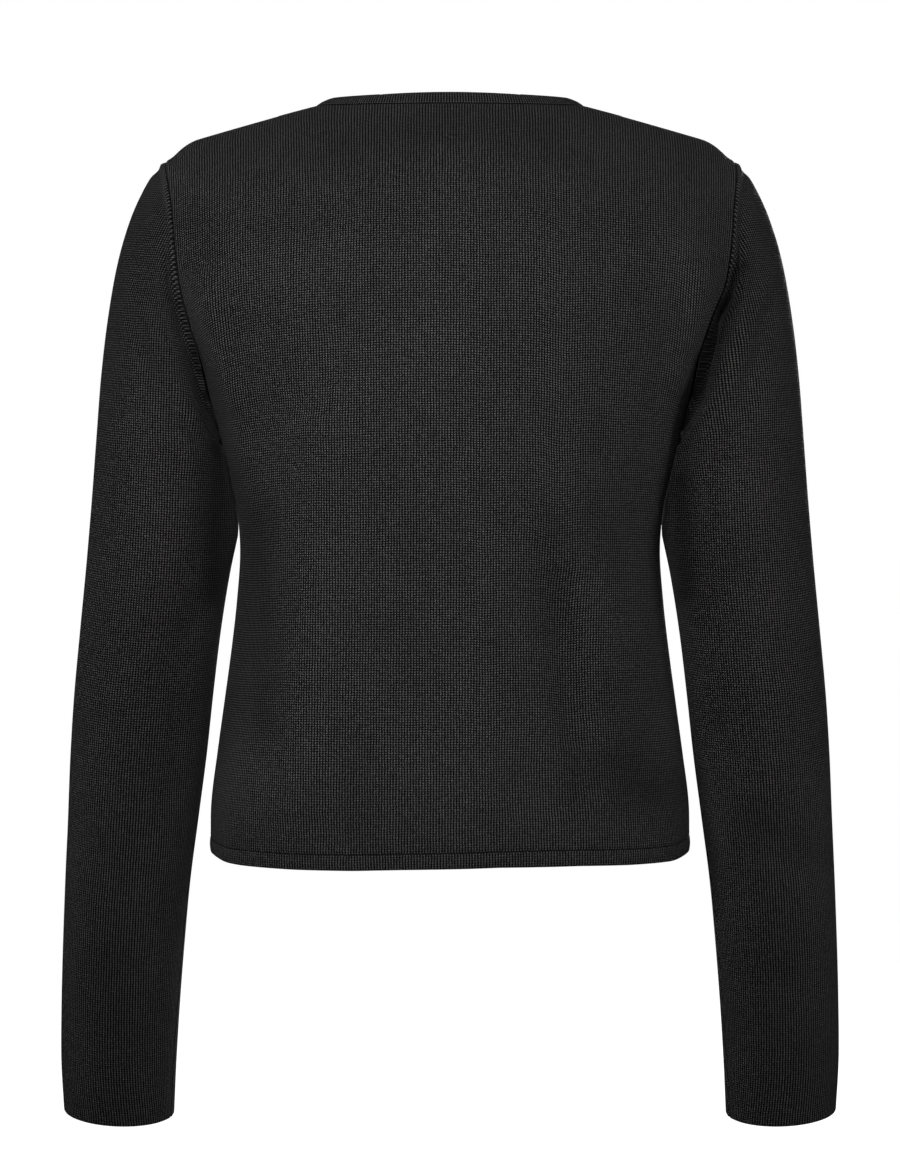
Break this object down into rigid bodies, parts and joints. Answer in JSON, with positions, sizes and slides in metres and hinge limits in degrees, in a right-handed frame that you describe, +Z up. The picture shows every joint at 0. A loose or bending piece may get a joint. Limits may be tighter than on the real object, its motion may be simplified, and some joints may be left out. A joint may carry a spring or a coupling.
{
  "type": "sweater jacket",
  "caption": "Short knitted sweater jacket, filled out as if worn, with long set-in sleeves, a narrow band round the neck, down the front edges and round the hem.",
  "frame": {"origin": "midway between the two neck points of the shoulders, where the jacket hangs from the wearer's shoulders", "axes": "+Z up, +Y the way the wearer faces (the back of the jacket faces -Y), +X towards the wearer's right"},
  "size_m": [0.5114, 0.2293, 0.6657],
  "materials": {
    "panel_knit": "fine, dense double knit, matt with a soft nap",
    "sleeve_knit": "fine, dense double knit, matt with a soft nap",
    "band_knit": "tubular ribbed knit, matt"
  },
  "bodies": {
    "root": {"back": "panel_knit", "front_left": "panel_knit", "front_right": "panel_knit", "sleeve_left": "sleeve_knit", "sleeve_right": "sleeve_knit", "neckband": "band_knit", "hem_band": "band_knit", "front_band_left": "band_knit", "front_band_right": "band_knit"}
  },
  "joints": []
}
